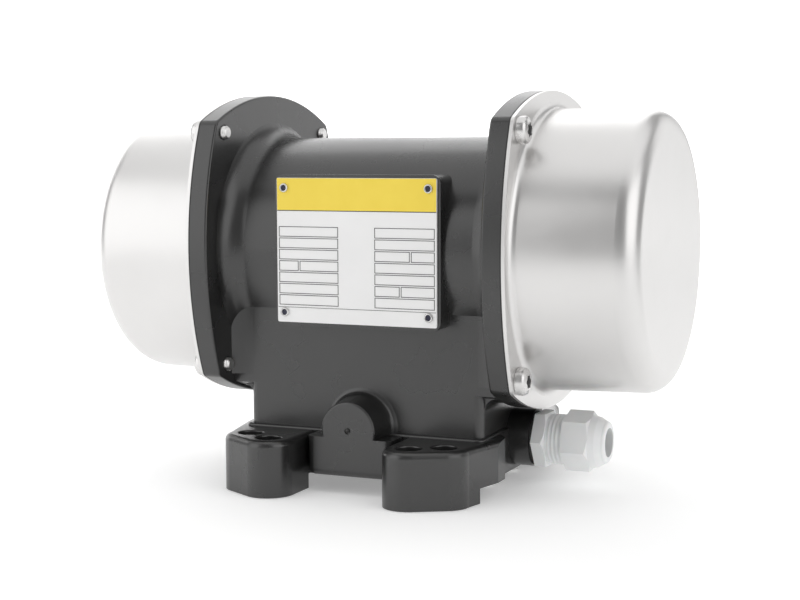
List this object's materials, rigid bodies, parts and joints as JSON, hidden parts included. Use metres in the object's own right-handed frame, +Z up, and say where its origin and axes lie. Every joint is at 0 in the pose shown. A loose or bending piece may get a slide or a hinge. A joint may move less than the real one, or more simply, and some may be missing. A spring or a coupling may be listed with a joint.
{
  "type": "external vibration motor",
  "caption": "Foot-mounted electric vibration motor: cast black housing with drawn steel end covers over eccentric weights, a blank rating plate and a cable gland.",
  "frame": {"origin": "centre of the mounting plane, under the middle of the shaft and between the four feet", "axes": "+X along the shaft towards the cable gland, +Z up from the mounting plane, -Y out of the rating plate"},
  "size_m": [0.205, 0.127, 0.14],
  "materials": {
    "black_paint": "semi-gloss black paint on a casting",
    "stainless": "satin deep-drawn stainless steel",
    "screw_steel": "bright zinc-plated steel",
    "plate": "printed aluminium, yellow band over light grey",
    "gasket": "matt black rubber",
    "gland_plastic": "light grey moulded nylon",
    "seal_rubber": "black rubber",
    "cast_aluminium": "machined casting",
    "lamination_steel": "stacked electrical sheet",
    "copper": "enamelled copper wire",
    "bearing_steel": "ground and polished",
    "shaft_steel": "ground steel",
    "weight_steel": "oiled steel plate",
    "terminal_plastic": "moulded thermoset",
    "brass": "turned brass"
  },
  "bodies": {
    "motor_frame": {"bottom_cover": "black_paint", "bottom_cover_screws": "screw_steel", "bottom_gasket": "gasket", "gland_body": "gland_plastic", "gland_dome_nut": "gland_plastic", "gland_seal": "seal_rubber", "gland_washer": "seal_rubber", "housing": "black_paint", "left_bearing_circlip": "shaft_steel", "left_bearing_outer_race": "bearing_steel", "left_bearing_shield": "cast_aluminium", "left_cover": "stainless", "left_cover_gasket": "gasket", "left_cover_screws": "screw_steel", "left_shield_screws": "screw_steel", "nameplate": "plate", "nameplate_rivets": "screw_steel", "right_bearing_circlip": "shaft_steel", "right_bearing_outer_race": "bearing_steel", "right_bearing_shield": "cast_aluminium", "right_cover": "stainless", "right_cover_gasket": "gasket", "right_cover_screws": "screw_steel", "right_shield_screws": "screw_steel", "stator_core": "lamination_steel", "stator_windings": "copper", "terminal_block": "terminal_plastic", "terminal_screws": "brass", "winding_leads": "copper"},
    "rotor": {"left_bearing_inner_race": "bearing_steel", "left_fixed_weight": "weight_steel", "left_fixed_weight_screw": "screw_steel", "left_key": "shaft_steel", "left_shaft_ring": "shaft_steel", "left_spacer": "shaft_steel", "right_bearing_inner_race": "bearing_steel", "right_fixed_weight": "weight_steel", "right_fixed_weight_screw": "screw_steel", "right_key": "shaft_steel", "right_shaft_ring": "shaft_steel", "right_spacer": "shaft_steel", "rotor_cage": "cast_aluminium", "rotor_core": "lamination_steel", "shaft": "shaft_steel"},
    "left_adjustable": {"left_adjustable_weight": "weight_steel", "left_adjustable_weight_screw": "screw_steel"},
    "right_adjustable": {"right_adjustable_weight": "weight_steel", "right_adjustable_weight_screw": "screw_steel"},
    "left_ball_cage": {"left_bearing_balls": "bearing_steel", "left_bearing_cage": "brass"},
    "right_ball_cage": {"right_bearing_balls": "bearing_steel", "right_bearing_cage": "brass"}
  },
  "joints": [
    {"name": "rotor_spin", "type": "hinge", "parent": "motor_frame", "child": "rotor", "pos_m": [0, 0, 0.084], "axis": [1, 0, 0], "continuous": true},
    {"name": "left_weight_adjust", "type": "hinge", "parent": "rotor", "child": "left_adjustable", "pos_m": [-0.085, 0, 0.084], "axis": [1, 0, 0], "range_deg": [0, 180]},
    {"name": "right_weight_adjust", "type": "hinge", "parent": "rotor", "child": "right_adjustable", "pos_m": [0.085, 0, 0.084], "axis": [1, 0, 0], "range_deg": [0, 180]},
    {"name": "left_cage_spin", "type": "hinge", "parent": "motor_frame", "child": "left_ball_cage", "pos_m": [-0.0535, 0, 0.084], "axis": [1, 0, 0], "continuous": true},
    {"name": "right_cage_spin", "type": "hinge", "parent": "motor_frame", "child": "right_ball_cage", "pos_m": [0.0535, 0, 0.084], "axis": [1, 0, 0], "continuous": true}
  ],
  "couplings": [
    {"joint": "left_cage_spin", "follows": "rotor_spin", "ratio": 0.3607},
    {"joint": "right_cage_spin", "follows": "rotor_spin", "ratio": 0.3607}
  ]
}
